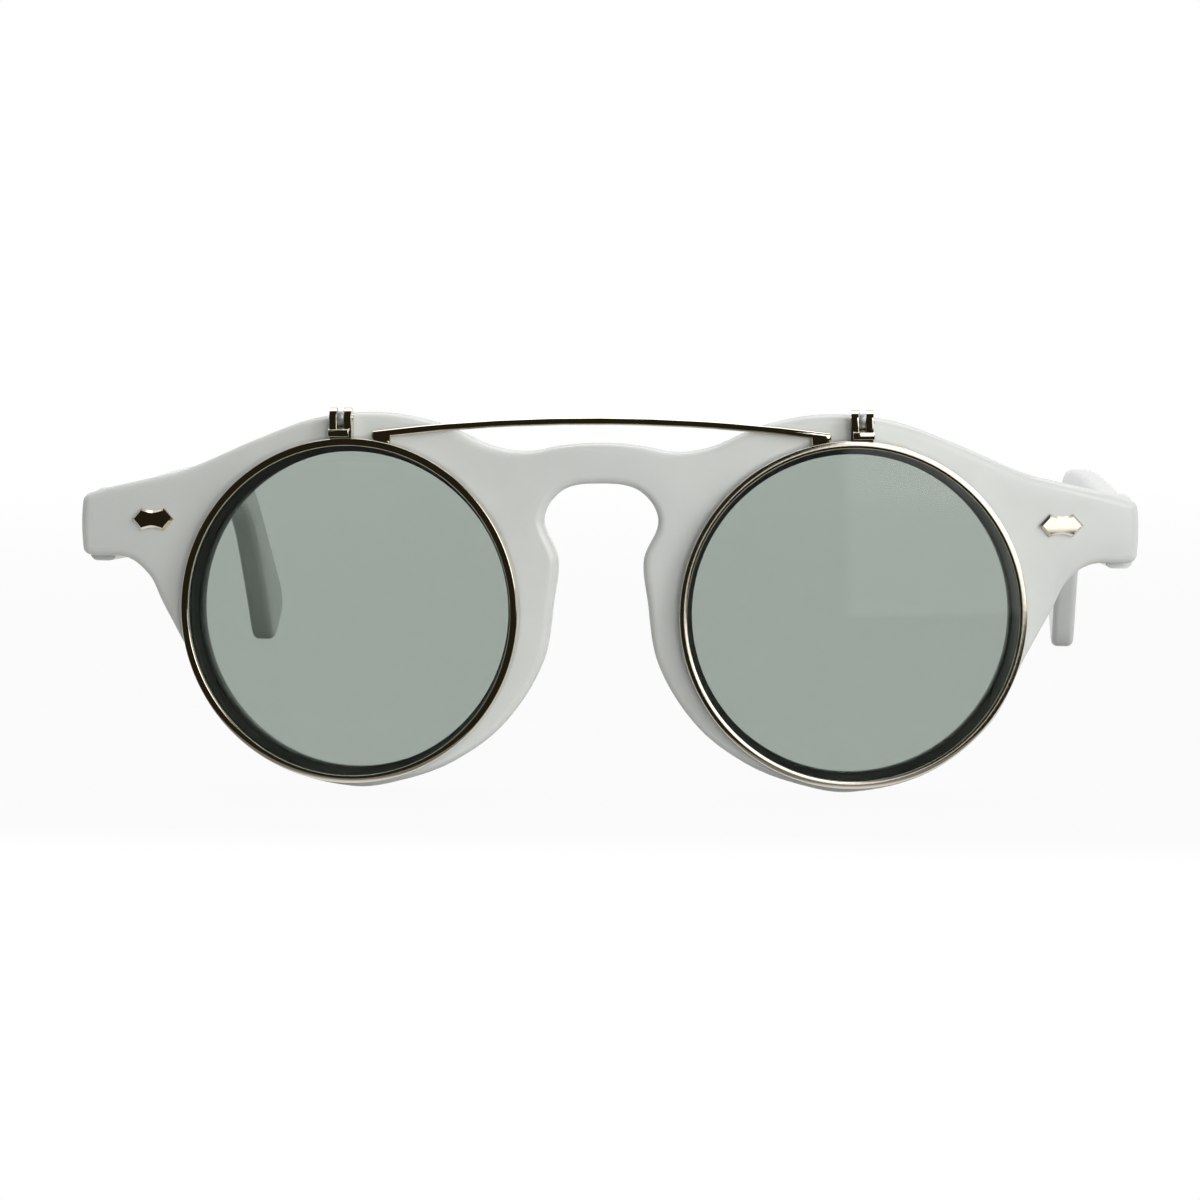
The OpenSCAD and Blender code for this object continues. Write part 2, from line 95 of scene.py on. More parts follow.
# The right half of the front's outline, from the top of the bridge round to the keyhole: x, z and
# whether the point is a sharp corner
frontKeys = [
    (5.3, browTop - 4.3, 0), (10.0, browTop - 5.1, 0), (lensX - 19, browTop - 4.4, 0),
    (lensX - 12.2, browTop - 1.5, 0), (lensX - 3.9, browTop, 0), (lensX + 5, browTop - 0.8, 0),
    (lensX + 13.2, browTop - 3.7, 0), (frontHalf - 15.4, endTop + 3.9, 0),
    (frontHalf - 10.4, endTop + 2.6, 0), (frontHalf - 1, endTop + 0.3, 0),
    (frontHalf, endTop - 0.8, 0), (frontHalf, endBottom + 0.9, 0), (frontHalf - 0.9, endBottom, 0),
    (frontHalf - 6.4, endBottom - 0.3, 0), (frontHalf - 9.6, endBottom - 2.7, 0),
    (frontHalf - 11.4, endBottom - 6.2, 0),
    eyewire(lowerRadius, -14), eyewire(lowerRadius - 0.2, -38), eyewire(lowerRadius - 0.2, -64),
    eyewire(lowerRadius, -90), eyewire(lowerRadius, -108), eyewire(lowerRadius + 0.6, -125),
    eyewire(lowerRadius + 1.6, -144), eyewire(lowerRadius + 2.7, -165),
    (6.3, 1.7, 0), (5.8, 7.2, 0), (7.7, 12.5, 0), (5.1, 16.4, 0),
]
frontOutline = [(0, browTop - 3.9, 0)] + frontKeys + [(0, 17.3, 0)]
frontOutline += [(-x, z, corner) for x, z, corner in reversed(frontKeys)]

temple = {
    "length": 146.5,
    "height": 12.95,
    "thickness": 3.8,
    "innerFace": 67.9,
    "edgeRound": 1.1,
    "buttGap": 0.2,
    "strips": (0, 140, 5),
}
# Hundredths of the temple's length behind the hinge, hundredths of its height over the hinge's middle,
# and whether the point is a sharp corner
templeShape = [
    (-3.4, 27, 0), (10.3, 31, 0), (30.3, 39, 0), (49.7, 42, 0), (63.4, 39, 0), (71, 32, 0),
    (79.2, 3, 0), (89.2, -68, 0), (97.2, -127, 0), (99.4, -149, 0), (99.7, -171, 0), (96.8, -195, 1),
    (94.2, -209, 0), (92.1, -205, 0), (87.7, -151, 0), (81, -73, 0), (75.6, -32, 0), (70.6, -18, 0),
    (62.8, -27, 0), (51, -53, 0), (41.4, -60, 0), (30.3, -54, 0), (10.3, -43, 0), (-3.4, -39, 1),
]

lens = {
    "turn": math.asin(lensX / front["wrapRadius"]),
    "steps": 160,
    "rimRadius": 23.25,
    "rimWidth": 1.0,
    "rimDepth": 2.4,
    "rimMiddle": -1.5,
    "rimRound": 0.14,
    "seat": 0.35,
    "rings": 14,
    "tintThickness": 1.8,
    "tintCurve": 260,
    "clearThickness": 2.0,
    "clearCurve": 200,
    "clearDepth": 2.2,
}

plaque = {
    "x": 61.6,
    "z": 11.9,
    "length": 6.05,
    "height": 3.05,
    "waist": 2.3,
    "corners": 3.2,
    "thickness": 1.4,
    "proud": 0.8,
    "bevel": 0.3,
    "dome": 70,
    "stripsAcross": (-3, 3, 0.5),
    "stripsUp": (-1.5, 1.5, 0.3),
}

hardware = {
    "smallRound": 0.12,
    "barRound": 0.32,
    "lipWidth": 2.9,
    "lipFront": -1.62,
    "lipBack": -0.9,
    "lipLow": 23.42,
    "lipHigh": 24.36,
    "lipSlope": 0.42,
    "lipTurn": 1.5,
    "flipX": 34.9,
}

# Colours are sRGB, as a paint card gives them
colours = {
    "pearl": "#E2E4E1",
    "pearlCloud": "#D5D9D6",
    "tint": "#A6AFA8",
    "clear": "#F6F8F6",
    "nickel": "#D6D0C2",
    "steel": "#B9B5AA",
    "satin": "#E4E6E6",
    "paper": "#8E8E8C",
    "darkRoom": "#8B7D5E",
}


def linear(hexColour, alpha=1.0):
    values = []
    for start in (1, 3, 5):
        channel = int(hexColour[start:start + 2], 16) / 255
        values.append(channel / 12.92 if channel <= 0.04045 else ((channel + 0.055) / 1.055) ** 2.4)
    return (*values, alpha)


def addNode(tree, kind, settings=None, inputs=None, links=None):
    node = tree.nodes.new(kind)
    for name, value in (settings or {}).items():
        setattr(node, name, value)
    for name, value in (inputs or {}).items():
        node.inputs[name].default_value = value
    for name, socket in (links or {}).items():
        tree.links.new(socket, node.inputs[name])
    return node


def newMaterial(name):
    material = bpy.data.materials.new(name)
    material.use_nodes = True
    tree = material.node_tree
    tree.nodes.clear()
    output = addNode(tree, "ShaderNodeOutputMaterial")
    place = addNode(tree, "ShaderNodeTexCoord")
    return material, tree, output, place.outputs["Object"]


def addGrain(tree, place, scale, detail, low, high):
    # A roughness that wanders a little over the surface, as on any real finish
    noise = addNode(tree, "ShaderNodeTexNoise", inputs={"Scale": scale, "Detail": detail},
                    links={"Vector": place})
    spread = addNode(tree, "ShaderNodeMapRange", inputs={"To Min": low, "To Max": high},
                     links={"Value": noise.outputs["Fac"]})
    return spread.outputs["Result"]


def pearlAcetate(name, lowRough, highRough, shine):
    # Cellulose acetate, moulded, tumbled to a gloss: milky, with faint clouds some millimetres wide
    material, tree, output, place = newMaterial(name)
    clouds = addNode(tree, "ShaderNodeTexNoise", inputs={"Scale": 110, "Detail": 4, "Roughness": 0.55},
                     links={"Vector": place})
    colour = addNode(tree, "ShaderNodeMix", {"data_type": "RGBA"})
    colour.inputs["A"].default_value = linear(colours["pearlCloud"])
    colour.inputs["B"].default_value = linear(colours["pearl"])
    tree.links.new(clouds.outputs["Fac"], colour.inputs["Factor"])
    rough = addGrain(tree, place, 900, 2, lowRough, highRough)
    bump = addNode(tree, "ShaderNodeBump", inputs={"Strength": 0.04, "Distance": 0.0002},
                   links={"Height": clouds.outputs["Fac"]})
    shader = addNode(tree, "ShaderNodeBsdfPrincipled",
                     inputs={"IOR": 1.48, "Specular IOR Level": shine, "Subsurface Weight": 0.3,
                             "Subsurface Scale": 0.0007, "Subsurface Radius": (1.0, 1.0, 1.0)},
                     links={"Base Color": colour.outputs["Result"], "Roughness": rough,
                            "Normal": bump.outputs["Normal"]})
    tree.links.new(shader.outputs["BSDF"], output.inputs["Surface"])
    return material


def lensPlastic(name, colourName, roughness):
    # Cast lens resin, polished optically: clear, with only a trace of wiping marks in the gloss
    material, tree, output, place = newMaterial(name)
    wipes = addGrain(tree, place, 60, 5, 0.0, roughness)
    shader = addNode(tree, "ShaderNodeBsdfPrincipled",
                     inputs={"Base Color": linear(colours[colourName]), "IOR": 1.25,
                             "Transmission Weight": 1.0},
                     links={"Roughness": wipes})
    tree.links.new(shader.outputs["BSDF"], output.inputs["Surface"])
    return material


def platedMetal(name, colourName, lowRough, highRough):
    # Nickel silver, drawn and plated bright: sharp reflections, with faint polishing haze
    material, tree, output, place = newMaterial(name)
    haze = addGrain(tree, place, 700, 3, lowRough, highRough)
    shader = addNode(tree, "ShaderNodeBsdfPrincipled",
                     inputs={"Base Color": linear(colours[colourName]), "Metallic": 1.0},
                     links={"Roughness": haze})
    tree.links.new(shader.outputs["BSDF"], output.inputs["Surface"])
    return material


pearl = pearlAcetate("pearl_cellulose_acetate", 0.14, 0.24, 0.5)
cutPearl = pearlAcetate("cut_unpolished_acetate", 0.55, 0.7, 0.08)
clearLens = lensPlastic("clear_lens_resin", "clear", 0.015)
tintedLens = lensPlastic("smoke_tinted_lens_resin", "tint", 0.02)
nickel = platedMetal("bright_plated_nickel_silver", "nickel", 0.04, 0.1)
steel = platedMetal("tumbled_nickel_plated_steel", "steel", 0.18, 0.3)
satin = platedMetal("satin_nickel_silver", "satin", 0.42, 0.55)
print("materials made")


def deselect():
    bpy.ops.object.select_all(action="DESELECT")


def activate(piece):
    deselect()
    piece.select_set(True)
    bpy.context.view_layer.objects.active = piece


def editMode(selectAll=True):
    bpy.ops.object.mode_set(mode="EDIT")
    bpy.ops.mesh.select_all(action="SELECT" if selectAll else "DESELECT")


def objectMode():
    bpy.ops.object.mode_set(mode="OBJECT")


def finishPiece(piece, name, body, material, nodes, smoothAngle=35):
    piece.name = name
    piece.data.name = name
    piece.data.materials.clear()
    piece.data.materials.append(material)
    activate(piece)
    bpy.ops.object.shade_smooth_by_angle(angle=math.radians(smoothAngle))
    piece.data.transform(toRow)
    piece.data.update()
    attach(piece, body)
    if nodes:
        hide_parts(*nodes)
    return piece


def outlineCurve(keys, name, thickness, edgeRound, edgeSteps=5):
    # A filled flat curve through the key points, with round edges, made into a mesh that faces up z
    deselect()
    bpy.ops.curve.primitive_bezier_circle_add()
    curveObject = bpy.context.object
    curveObject.name = name
    curve = curveObject.data
    curve.dimensions = "2D"
    curve.fill_mode = "BOTH"
    spline = curve.splines[0]
    spline.bezier_points.add(len(keys) - len(spline.bezier_points))
    points = [Vector((x, z)) for x, z, corner in keys]
    count = len(points)
    for index, (point, key) in enumerate(zip(spline.bezier_points, keys)):
        here, before, after = points[index], points[index - 1], points[(index + 1) % count]
        heading = Vector((0, 0)) if key[2] else (after - before).normalized()
        point.handle_left_type = point.handle_right_type = "FREE"
        point.co = (*here, 0)
        point.handle_left = (*(here - heading * (here - before).length / 3), 0)
        point.handle_right = (*(here + heading * (after - here).length / 3), 0)
    curve.resolution_u = 10
    curve.extrude = thickness / 2 - edgeRound
    curve.bevel_depth = edgeRound
    curve.bevel_resolution = edgeSteps
    curve.offset = -edgeRound
    activate(curveObject)
    bpy.ops.object.convert(target="MESH")
    piece = bpy.context.object
    editMode()
    bpy.ops.mesh.remove_doubles(threshold=curveWeld)
    bpy.ops.mesh.dissolve_limited(angle_limit=math.radians(0.5))
    bpy.ops.mesh.normals_make_consistent(inside=False)
    objectMode()
    return piece


def cutAcross(piece, normal, positions):
    # Cuts the mesh's faces into strips, which can then bend
    editMode()
    for position in positions:
        bpy.ops.mesh.select_all(action="SELECT")
        bpy.ops.mesh.bisect(plane_co=tuple(position * part for part in normal), plane_no=normal)
    objectMode()


def steps(low, high, step):
    count = round((high - low) / step)
    return [low + step * index for index in range(count + 1)]


def lensMatrix(side, depth):
    # From a lens's own frame, turned about y, to its seat in the wrapped front
    turn = lens["turn"] * side
    place = Matrix.Translation((lensX * side, faceY(lensX), 0)) @ Matrix.Rotation(turn, 4, "Z")
    return place @ Matrix.Translation((0, depth, 0))


def buildFront():
    piece = outlineCurve(frontOutline, "front", front["thickness"], front["edgeRound"])
    cutAcross(piece, (1, 0, 0), steps(*front["stripsAcross"]))
    cutAcross(piece, (0, 1, 0), steps(*front["stripsUp"]))
    # From flat, with the curve's z as the thickness, to upright and wrapped
    for vertex in piece.data.vertices:
        x, z, through = vertex.co
        share = 0.5 - through / front["thickness"]
        vertex.co = (x, faceY(x) + share * (backY(x) - faceY(x)), z)
    editMode()
    bpy.ops.mesh.normals_make_consistent(inside=False)
    objectMode()
    for side in (-1, 1):
        deselect()
        bpy.ops.mesh.primitive_cylinder_add(vertices=lens["steps"], radius=front["openingRadius"],
                                            depth=front["cutterDepth"])
        cutter = bpy.context.object
        cutter.data.transform(lensMatrix(side, 0) @ Matrix.Rotation(math.radians(90), 4, "X"))
        cut = piece.modifiers.new("opening", "BOOLEAN")
        cut.operation = "DIFFERENCE"
        cut.object = cutter
        activate(piece)
        bpy.ops.object.modifier_apply(modifier=cut.name)
        bpy.data.objects.remove(cutter)
    # Break the edges of the openings, without the lines that run through them from front to back
    activate(piece)
    editMode(False)
    bpy.ops.mesh.select_mode(type="EDGE")
    objectMode()
    mesh = piece.data
    placeBack = {side: lensMatrix(side, 0).inverted() for side in (-1, 1)}
    for edge in mesh.edges:
        ends = [mesh.vertices[index].co for index in edge.vertices]
        for side in (-1, 1):
            local = [placeBack[side] @ end for end in ends]
            misses = [abs(math.hypot(end.x, end.z) - front["openingRadius"]) for end in local]
            if max(misses) < front["bevelReach"]:
                edge.select = abs(local[0].y - local[1].y) < front["thickness"] / 4
    bpy.ops.object.mode_set(mode="EDIT")
    bpy.ops.mesh.bevel(offset=front["openingBevel"], segments=3, affect="EDGES")
    objectMode()
    piece = finishPiece(piece, "front_moulding", "front", pearl, ["front_frame"])
    # The walls of the openings stay as the cutter leaves them, matt, and look dark behind the tint
    piece.data.materials.append(cutPearl)
    for polygon in piece.data.polygons:
        for side in (-1, 1):
            centre = placeBack[side] @ (toRow.inverted() @ polygon.center)
            if math.hypot(centre.x, centre.z) < front["openingRadius"] + front["seatReach"]:
                polygon.material_index = 1
    return piece


def buildTemple(side, label):
    keys = []
    for along, height, corner in templeShape:
        keys.append((along * temple["length"] / 100, height * temple["height"] / 100, corner))
    piece = outlineCurve(keys, "temple", temple["thickness"], temple["edgeRound"])
    cutAcross(piece, (1, 0, 0), steps(*temple["strips"]))
    middle = temple["innerFace"] + temple["thickness"] / 2
    for vertex in piece.data.vertices:
        along, height, through = vertex.co
        vertex.co = (side * (middle + through), hingeLocal.y + along, hingeLocal.z + height)
    activate(piece)
    editMode()
    # The butt follows the slope of the front's back
    slope = middle / (front["wrapRadius"] - front["thickness"])
    bpy.ops.mesh.bisect(plane_co=(side * middle, backY(middle) + temple["buttGap"], 0),
                        plane_no=(side * slope, -1, 0), clear_outer=True, use_fill=True)
    bpy.ops.mesh.select_all(action="SELECT")
    bpy.ops.mesh.normals_make_consistent(inside=False)
    objectMode()
    return finishPiece(piece, "temple_arm_" + label, "temple_arm_" + label, pearl,
                       ["temple_" + label])


def spinProfile(points, side, depth):
    # points are (radius, depth behind the mid plane), closed, and are spun about the lens axis
    deselect()
    bpy.ops.mesh.primitive_circle_add(vertices=len(points))
    piece = bpy.context.object
    for vertex, point in zip(piece.data.vertices, points):
        vertex.co = (point[0], point[1], 0)
    editMode()
    bpy.ops.mesh.spin(steps=lens["steps"], angle=2 * math.pi, center=(0, 0, 0), axis=(0, 1, 0))
    bpy.ops.mesh.select_all(action="SELECT")
    bpy.ops.mesh.remove_doubles(threshold=meshWeld)
    bpy.ops.mesh.normals_make_consistent(inside=False)
    objectMode()
    piece.data.transform(lensMatrix(side, depth))
    return piece


def roundedBox(low, high, radius, segments=5):
    # The corner points of an upright rectangle with rounded corners
    points = []
    corners = [(high[0] - radius, high[1] - radius, 0), (low[0] + radius, high[1] - radius, 90),
               (low[0] + radius, low[1] + radius, 180), (high[0] - radius, low[1] + radius, 270)]
    for x, y, start in corners:
        for step in range(segments + 1):
            angle = math.radians(start + 90 * step / segments)
            points.append((x + radius * math.cos(angle), y + radius * math.sin(angle)))
    return points


def buildRim(side, label):
    low = (lens["rimRadius"] - lens["rimWidth"], -lens["rimDepth"] / 2)
    high = (lens["rimRadius"], lens["rimDepth"] / 2)
    piece = spinProfile(roundedBox(low, high, lens["rimRound"]), side, lens["rimMiddle"])
    return finishPiece(piece, "round_rim_" + label, "flip_unit", nickel,
                       ["flip_rim_" + label], smoothAngle=60)


def sagitta(curve, radius):
    # How far a sphere of radius curve falls away at this distance from its pole
    return curve - math.sqrt(curve * curve - radius * radius)


def buildLens(side, label, radius, thickness, curve, depth, name, body, material, node):
    edge = sagitta(curve, radius)
    frontRadius = curve + thickness / 2
    backRadius = curve - thickness / 2
    points = []
    distances = [radius * ring / lens["rings"] for ring in range(lens["rings"] + 1)]
    for distance in distances:
        points.append((distance, sagitta(frontRadius, distance) - edge - thickness / 2))
    for distance in reversed(distances):
        points.append((distance, sagitta(backRadius, distance) - edge + thickness / 2))
    piece = spinProfile(points, side, depth)
    return finishPiece(piece, name + label, body, material, [node + label], smoothAngle=40)


def softenNode(nodeName, newName, body, material, width, segments=3):
    # A copy of the solid's own mesh, merged, with its sharp edges rounded
    source = frame["nodes"][nodeName]
    piece = bpy.data.objects.new(newName, source.data.copy())
    bpy.context.scene.collection.objects.link(piece)
    activate(piece)
    piece.data.transform(toRow.inverted())
    editMode()
    bpy.ops.mesh.remove_doubles(threshold=meshWeld)
    bpy.ops.mesh.dissolve_limited(angle_limit=math.radians(1))
    objectMode()
    rounding = piece.modifiers.new("round", "BEVEL")
    rounding.width = width
    rounding.segments = segments
    rounding.limit_method = "ANGLE"
    rounding.angle_limit = math.radians(40)
    bpy.ops.object.modifier_apply(modifier=rounding.name)
    return finishPiece(piece, newName, body, material, [nodeName])


def buildPlaque(side, label):
    # A stamped bow tie with a bevelled edge and a very slightly domed face
    half, corner = plaque["length"] / 2, plaque["corners"] / 2
    high, waist = plaque["height"] / 2, plaque["waist"] / 2
    keys = [(half, 0, 1), (corner, high, 1), (0, waist, 0), (-corner, high, 1), (-half, 0, 1),
            (-corner, -high, 1), (0, -waist, 0), (corner, -high, 1)]
    piece = outlineCurve(keys, "plaque", plaque["thickness"], plaque["bevel"], 0)
    cutAcross(piece, (1, 0, 0), steps(*plaque["stripsAcross"]))
    cutAcross(piece, (0, 1, 0), steps(*plaque["stripsUp"]))
    for vertex in piece.data.vertices:
        x, z, through = vertex.co
        fall = (x * x + z * z) / (2 * plaque["dome"])
        vertex.co = (x, fall - plaque["proud"] + plaque["thickness"] / 2 - through, z)
    editMode()
    bpy.ops.mesh.normals_make_consistent(inside=False)
    objectMode()
    turn = math.asin(plaque["x"] / front["wrapRadius"]) * side
    centre = Vector((plaque["x"] * side, faceY(plaque["x"]), plaque["z"]))
    piece.data.transform(Matrix.Translation(centre) @ Matrix.Rotation(turn, 4, "Z"))
    return finishPiece(piece, "bow_tie_plaque_" + label, "front", nickel,
                       ["end_plaque_" + label], smoothAngle=25)


def buildForkLip(side, label):
    # The fork's sheet is folded forward at its foot: a plate in the rim's plane with a sloped top
    low, high, slope = hardware["lipLow"], hardware["lipHigh"], hardware["lipSlope"]
    half = hardware["lipWidth"] / 2
    deselect()
    bpy.ops.mesh.primitive_cube_add(size=2)
    piece = bpy.context.object
    for vertex in piece.data.vertices:
        x, y, z = vertex.co
        deep = hardware["lipFront"] if y < 0 else hardware["lipBack"]
        tall = (high if y < 0 else high + slope) if z > 0 else low
        vertex.co = (x * half, deep, tall)
    rounding = piece.modifiers.new("round", "BEVEL")
    rounding.width = hardware["smallRound"]
    rounding.segments = 3
    activate(piece)
    bpy.ops.object.modifier_apply(modifier=rounding.name)
    turn = Matrix.Rotation(lens["turn"] * side * hardware["lipTurn"], 4, "Z")
    piece.data.transform(Matrix.Translation((hardware["flipX"] * side, 0, 0)) @ turn)
    return finishPiece(piece, "fork_lip_" + label, "flip_unit", nickel, None)


buildFront()
print("front made")
for side, label in ((-1, "left"), (1, "right")):
    buildTemple(side, label)
    buildRim(side, label)
    # The edges of the lenses sit a little way inside the rims and the front
    buildLens(side, label, lens["rimRadius"] - lens["rimWidth"] + lens["seat"], lens["tintThickness"],
              lens["tintCurve"], lens["rimMiddle"], "tinted_lens_", "flip_unit",
              tintedLens, "flip_lens_")
    buildLens(side, label, front["openingRadius"] + lens["seat"], lens["clearThickness"],
              lens["clearCurve"], lens["clearDepth"], "clear_lens_", "front",
              clearLens, "inner_lens_")
    buildPlaque(side, label)
    smallParts = [
        ("front_hinge_leaf_", "front_leaf_", "front", "hinge_steel", steel),
        ("temple_hinge_leaf_", "temple_leaf_", "temple_arm_" + label, "hinge_steel", steel),
        ("temple_hinge_screw_", "hinge_screw_", "front", "hinge_steel", steel),
        ("flip_hinge_leaf_", "flip_knuckle_", "front", "polished_metal", satin),
        ("flip_hinge_fork_", "flip_fork_", "flip_unit", "polished_metal", nickel),
        ("flip_hinge_pin_", "flip_pin_", "flip_unit", "polished_metal", nickel),
    ]
    for nodeName, newName, body, slotName, material in smallParts:
        softenNode(nodeName + label, newName + label, body, material, hardware["smallRound"])
    buildForkLip(side, label)
    print(label, "side made")
softenNode("flip_bridge_bar", "arched_bar", "flip_unit", nickel, hardware["barRound"])
print("bar made")

# The studio is in metres. Pairs are where a soft edge starts and ends: along y on the paper, by the
# distance from the middle, and as slopes from straight ahead for the card
studio = {
    "paperFront": -0.14,
    "paperHalf": 1.6,
    "wallBehind": 1.1,
    "wallHeight": 1.8,
    "sweepRadius": 0.6,
    "paperGlow": 0.95,
    "farFade": (0.12, 0.45),
    "frontFade": (-0.13, 0.03),
    "mirrorEdge": (-0.1, -0.085),
    "roomEdge": (-0.35, 0.25),
    "roomFront": 0.08,
    "roomBehind": 0.6,
    "cardLow": 1.7,
    "cardHigh": 3.2,
    "cardLeft": (0.185, 0.215),
    "cardRight": (0.9, 1.3),
    "cardFoot": (-0.028, -0.018),
    "cardTop": (0.5, 0.8),
    "cardStep": (0.11, 0.15),
    "lampAim": 0.03,
    "azimuth": 4.0,
    "elevation": 4.0,
    "distance": 500,
    "frameWidth": 160.9,
    "target": (0.0, 0.0, 1.74),
    "sensor": 36,
}
# Softboxes: degrees round from the front, degrees up, distance in metres, width, height, brightness,
# and whether the metal and the lenses mirror it
softboxes = {
    "front_box_left": (-52, 24, 1.0, 0.6, 0.6, 0.12, True),
    "front_box_right": (56, 26, 1.0, 0.7, 0.7, 2.15, True),
    "front_fill": (8, 5, 1.0, 0.4, 0.4, 7.2, False),
    "rear_fill": (195, 35, 1.0, 0.6, 0.6, 2.6, False),
    "top_box": (180, 74, 0.95, 1.0, 0.6, 2.0, True),
}


def addMath(tree, operation, first, second, clamp=False):
    node = addNode(tree, "ShaderNodeMath", {"operation": operation, "use_clamp": clamp})
    for socket, value in zip(node.inputs, (first, second)):
        if isinstance(value, (int, float)):
            socket.default_value = value
        else:
            tree.links.new(value, socket)
    return node.outputs["Value"]


def addRamp(tree, value, low, high, start=0.0, end=1.0):
    node = addNode(tree, "ShaderNodeMapRange", {"interpolation_type": "SMOOTHSTEP"},
                   {"From Min": low, "From Max": high, "To Min": start, "To Max": end},
                   {"Value": value})
    return node.outputs["Result"]


def addSeen(tree, mirrorShare):
    # Where the camera, a mirror or a lens looks, the backdrop is plain white. It lights the glasses
    # at its own level, also what lies behind a lens
    path = addNode(tree, "ShaderNodeLightPath").outputs
    through = addMath(tree, "SUBTRACT", path["Is Transmission Ray"], path["Diffuse Depth"], True)
    mirrored = addMath(tree, "SUBTRACT", path["Is Glossy Ray"], path["Diffuse Depth"], True)
    mirrored = addMath(tree, "MULTIPLY", mirrored, mirrorShare)
    straight = addMath(tree, "MAXIMUM", path["Is Camera Ray"], through)
    return addMath(tree, "MAXIMUM", straight, mirrored)


def buildSweep():
    # A paper sweep: a flat sheet whose back edge is spun up into a wall
    deselect()
    bpy.ops.mesh.primitive_plane_add(size=2)
    sweep = bpy.context.object
    sweep.name = "studio_sweep"
    for vertex in sweep.data.vertices:
        vertex.co.y = studio["wallBehind"] if vertex.co.y > 0 else studio["paperFront"]
        vertex.co.x *= studio["paperHalf"]
    editMode(False)
    bpy.ops.mesh.select_mode(type="EDGE")
    objectMode()
    for edge in sweep.data.edges:
        edge.select = all(sweep.data.vertices[index].co.y > 0 for index in edge.vertices)
    bpy.ops.object.mode_set(mode="EDIT")
    bpy.ops.mesh.spin(steps=16, angle=-math.pi / 2, axis=(1, 0, 0),
                      center=(0, studio["wallBehind"], studio["sweepRadius"]))
    bpy.ops.mesh.extrude_region_move(TRANSFORM_OT_translate={"value": (0, 0, studio["wallHeight"])})
    bpy.ops.mesh.select_all(action="SELECT")
    bpy.ops.mesh.normals_make_consistent(inside=False)
    objectMode()
    bpy.ops.object.shade_smooth()
    material, tree, output, place = newMaterial("white_paper_sweep")
    grain = addGrain(tree, place, 400, 3, 0.8, 0.95)
    paper = addNode(tree, "ShaderNodeBsdfPrincipled",
                    inputs={"Base Color": linear(colours["paper"]), "Specular IOR Level": 0.1},
                    links={"Roughness": grain})
    glow = addNode(tree, "ShaderNodeEmission", inputs={"Color": linear("#FFFFFF"), "Strength": 1.0})
    away = addNode(tree, "ShaderNodeVectorMath", {"operation": "LENGTH"}, links={"Vector": place})
    spot = addNode(tree, "ShaderNodeSeparateXYZ", links={"Vector": place})
    farWhite = addRamp(tree, away.outputs["Value"], *studio["farFade"], studio["paperGlow"], 1.0)
    frontWhite = addRamp(tree, spot.outputs["Y"], *studio["frontFade"], 1.0, 0.0)
    whiteness = addMath(tree, "MAXIMUM", farWhite, frontWhite)
    rear = addRamp(tree, spot.outputs["Y"], *studio["mirrorEdge"])
    mix = addNode(tree, "ShaderNodeMixShader",
                  links={"Fac": addMath(tree, "MULTIPLY", addSeen(tree, rear), whiteness)})
    tree.links.new(paper.outputs["BSDF"], mix.inputs[1])
    tree.links.new(glow.outputs["Emission"], mix.inputs[2])
    tree.links.new(mix.outputs["Shader"], output.inputs["Surface"])
    sweep.data.materials.append(material)


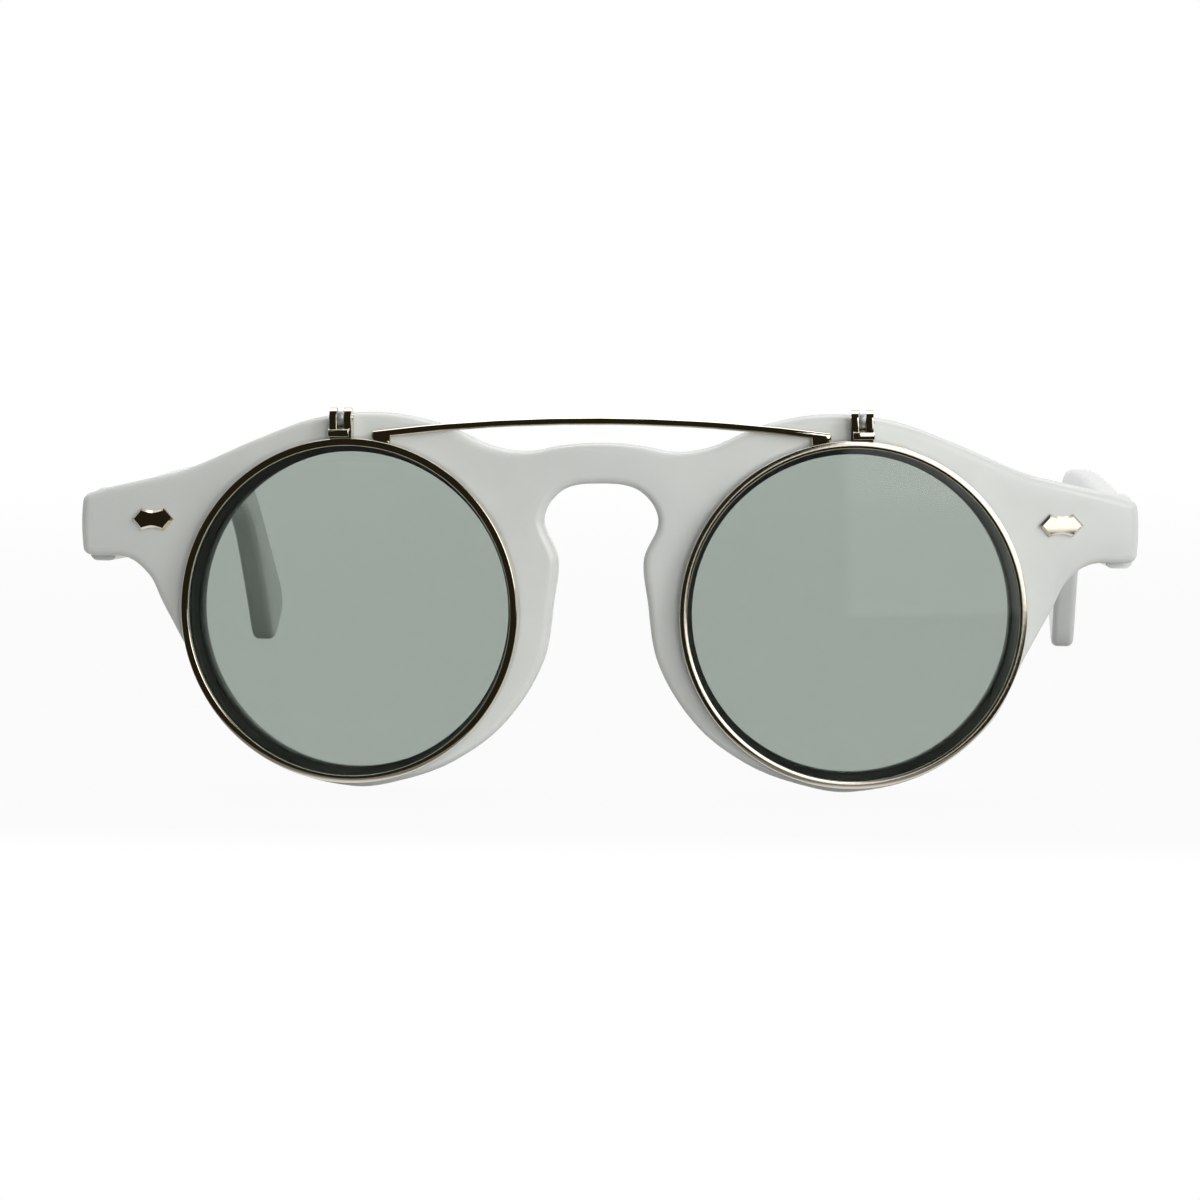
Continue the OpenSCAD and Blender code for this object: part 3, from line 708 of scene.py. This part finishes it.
def buildWorld():
    # A white room behind the glasses and a dim, warm one in front, which the bright metal mirrors
    world = bpy.data.worlds.new("studio")
    bpy.context.scene.world = world
    world.use_nodes = True
    tree = world.node_tree
    tree.nodes.clear()
    output = addNode(tree, "ShaderNodeOutputWorld")
    direction = addNode(tree, "ShaderNodeTexCoord")
    parts = addNode(tree, "ShaderNodeSeparateXYZ", links={"Vector": direction.outputs["Generated"]})
    behind = addRamp(tree, parts.outputs["Y"], *studio["roomEdge"])
    tone = addNode(tree, "ShaderNodeMix", {"data_type": "RGBA"})
    tone.inputs["A"].default_value = linear(colours["darkRoom"])
    tone.inputs["B"].default_value = linear("#FFFFFF")
    # A white card to the right of the camera, brighter above: the right half's metal mirrors it
    forward = addMath(tree, "MAXIMUM", addMath(tree, "MULTIPLY", parts.outputs["Y"], -1.0), 0.05)
    across = addMath(tree, "DIVIDE", parts.outputs["X"], forward)
    up = addMath(tree, "DIVIDE", parts.outputs["Z"], forward)
    card = addMath(tree, "MULTIPLY", addRamp(tree, across, *studio["cardLeft"]),
                   addRamp(tree, across, *studio["cardRight"], 1.0, 0.0))
    card = addMath(tree, "MULTIPLY", card, addRamp(tree, up, *studio["cardFoot"]))
    card = addMath(tree, "MULTIPLY", card, addRamp(tree, up, *studio["cardTop"], 1.0, 0.0))
    pale = addMath(tree, "MAXIMUM", behind, card)
    tree.links.new(pale, tone.inputs["Factor"])
    level = addRamp(tree, behind, 0.0, 1.0, studio["roomFront"], studio["roomBehind"])
    cardLevel = addRamp(tree, up, *studio["cardStep"], studio["cardLow"], studio["cardHigh"])
    level = addMath(tree, "ADD", level, addMath(tree, "MULTIPLY", card, cardLevel))
    room = addNode(tree, "ShaderNodeBackground",
                   links={"Strength": level, "Color": tone.outputs["Result"]})
    white = addNode(tree, "ShaderNodeBackground",
                    inputs={"Color": linear("#FFFFFF"), "Strength": 1.0})
    mix = addNode(tree, "ShaderNodeMixShader", links={"Fac": addSeen(tree, behind)})
    tree.links.new(room.outputs["Background"], mix.inputs[1])
    tree.links.new(white.outputs["Background"], mix.inputs[2])
    tree.links.new(mix.outputs["Shader"], output.inputs["Surface"])


def addSoftbox(name, around, up, distance, width, height, brightness, mirrored):
    light = bpy.data.lights.new(name, "AREA")
    light.shape = "RECTANGLE"
    light.size = width
    light.size_y = height
    light.energy = brightness * math.pi * width * height
    lamp = bpy.data.objects.new(name, light)
    bpy.context.scene.collection.objects.link(lamp)
    around, up = math.radians(around), math.radians(up)
    away = Vector((math.sin(around) * math.cos(up), -math.cos(around) * math.cos(up), math.sin(up)))
    centre = Vector((0, toRow.translation.y, studio["lampAim"]))
    lamp.location = centre + away * distance
    lamp.rotation_euler = (-away).to_track_quat("-Z", "Y").to_euler()
    lamp.visible_camera = False
    lamp.visible_glossy = mirrored
    lamp.visible_transmission = mirrored


def buildCamera():
    camera = bpy.data.cameras.new("photo_view")
    camera.sensor_width = studio["sensor"]
    camera.lens = studio["sensor"] * studio["distance"] / studio["frameWidth"]
    camera.clip_start = 0.01
    camera.clip_end = 50
    viewer = bpy.data.objects.new("photo_view", camera)
    bpy.context.scene.collection.objects.link(viewer)
    azimuth = math.radians(studio["azimuth"])
    elevation = math.radians(studio["elevation"])
    away = Vector((math.sin(azimuth) * math.cos(elevation), -math.cos(azimuth) * math.cos(elevation),
                   math.sin(elevation)))
    target = Vector(studio["target"])
    place = toRow @ (target + away * studio["distance"])
    look = (toRow @ target - place).to_track_quat("-Z", "Y")
    viewer.location = place
    viewer.rotation_euler = look.to_euler()
    bpy.context.scene.camera = viewer


buildSweep()
buildWorld()
for name, values in softboxes.items():
    addSoftbox(name, *values)
buildCamera()
bpy.context.scene.view_settings.view_transform = "Standard"
# Sharp lenses throw no specks of light onto what lies behind them
bpy.context.scene.cycles.caustics_refractive = False
print("studio made")
